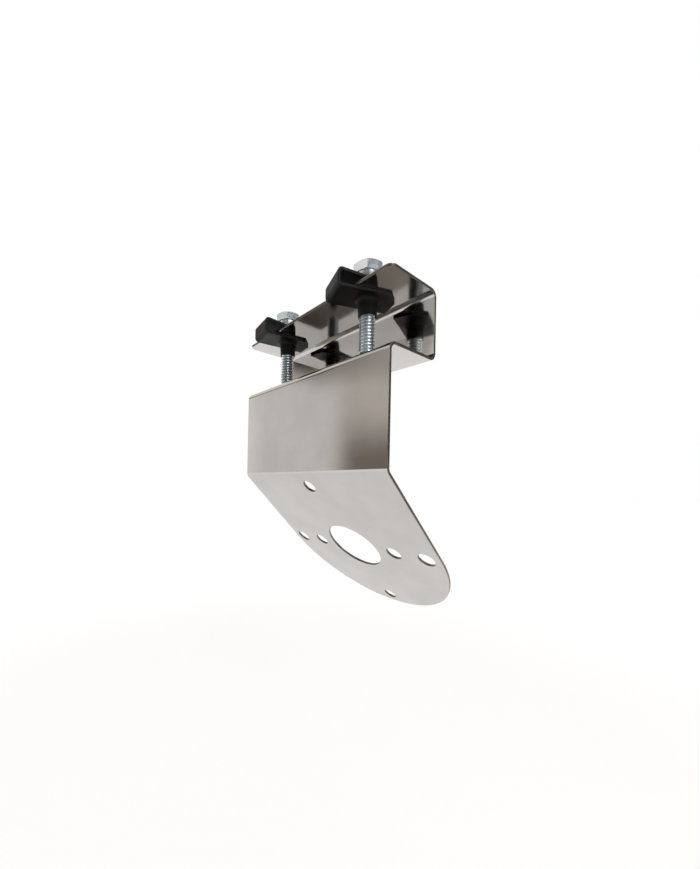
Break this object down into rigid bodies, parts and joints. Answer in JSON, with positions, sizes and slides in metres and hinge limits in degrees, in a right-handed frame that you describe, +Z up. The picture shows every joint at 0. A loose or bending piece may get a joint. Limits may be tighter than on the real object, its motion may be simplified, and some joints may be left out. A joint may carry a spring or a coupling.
{
  "type": "clamp-on mounting bracket",
  "caption": "Bent stainless bracket: a channel with clamp bolts in clip nuts grips a lip or rail, and a sloping round-ended plate below carries a device.",
  "frame": {"origin": "on the seat face (the lower flange's upper face), halfway along the bracket, on the line of the bolt holes", "axes": "+X along the bracket, +Y away from the channel's open mouth, +Z up, out of the seat face"},
  "size_m": [0.096, 0.0752, 0.1495],
  "materials": {
    "stainless_sheet": "satin cold-rolled",
    "black_clip": "matte black coating",
    "zinc_plated": "bright zinc"
  },
  "bodies": {
    "bracket": {"bracket": "stainless_sheet"},
    "clip_right": {"clip_nut_right": "black_clip"},
    "clip_left": {"clip_nut_left": "black_clip"},
    "washers_right": {"flat_washer_right": "zinc_plated", "spring_washer_right": "zinc_plated"},
    "washers_left": {"flat_washer_left": "zinc_plated", "spring_washer_left": "zinc_plated"},
    "bolt_right": {"hex_bolt_right": "zinc_plated"},
    "bolt_left": {"hex_bolt_left": "zinc_plated"}
  },
  "joints": [
    {"name": "right_clip_swivel", "type": "hinge", "parent": "bracket", "child": "clip_right", "pos_m": [0.0284, -0.0004, 0.024], "axis": [0, 0, 1], "range_deg": [0, 43.6]},
    {"name": "left_clip_swivel", "type": "hinge", "parent": "bracket", "child": "clip_left", "pos_m": [-0.0267, -0.0001, 0.024], "axis": [0, 0, 1], "range_deg": [-12.8, 30.8]},
    {"name": "right_washer_lift", "type": "slide", "parent": "clip_right", "child": "washers_right", "axis": [0, 0, 1], "range_m": [0, 0.01524]},
    {"name": "left_washer_lift", "type": "slide", "parent": "clip_left", "child": "washers_left", "axis": [0, 0, 1], "range_m": [0, 0.01524]},
    {"name": "right_bolt_turn", "type": "hinge", "parent": "washers_right", "child": "bolt_right", "pos_m": [0.0284, -0.0004, 0.034], "axis": [0, 0, 1], "range_deg": [0, 4330]},
    {"name": "left_bolt_turn", "type": "hinge", "parent": "washers_left", "child": "bolt_left", "pos_m": [-0.0267, -0.0001, 0.034], "axis": [0, 0, 1], "range_deg": [0, 4330]}
  ],
  "couplings": [
    {"joint": "right_bolt_turn", "follows": "right_washer_lift", "rad_per_m": 4947.4},
    {"joint": "left_bolt_turn", "follows": "left_washer_lift", "rad_per_m": 4947.4}
  ]
}
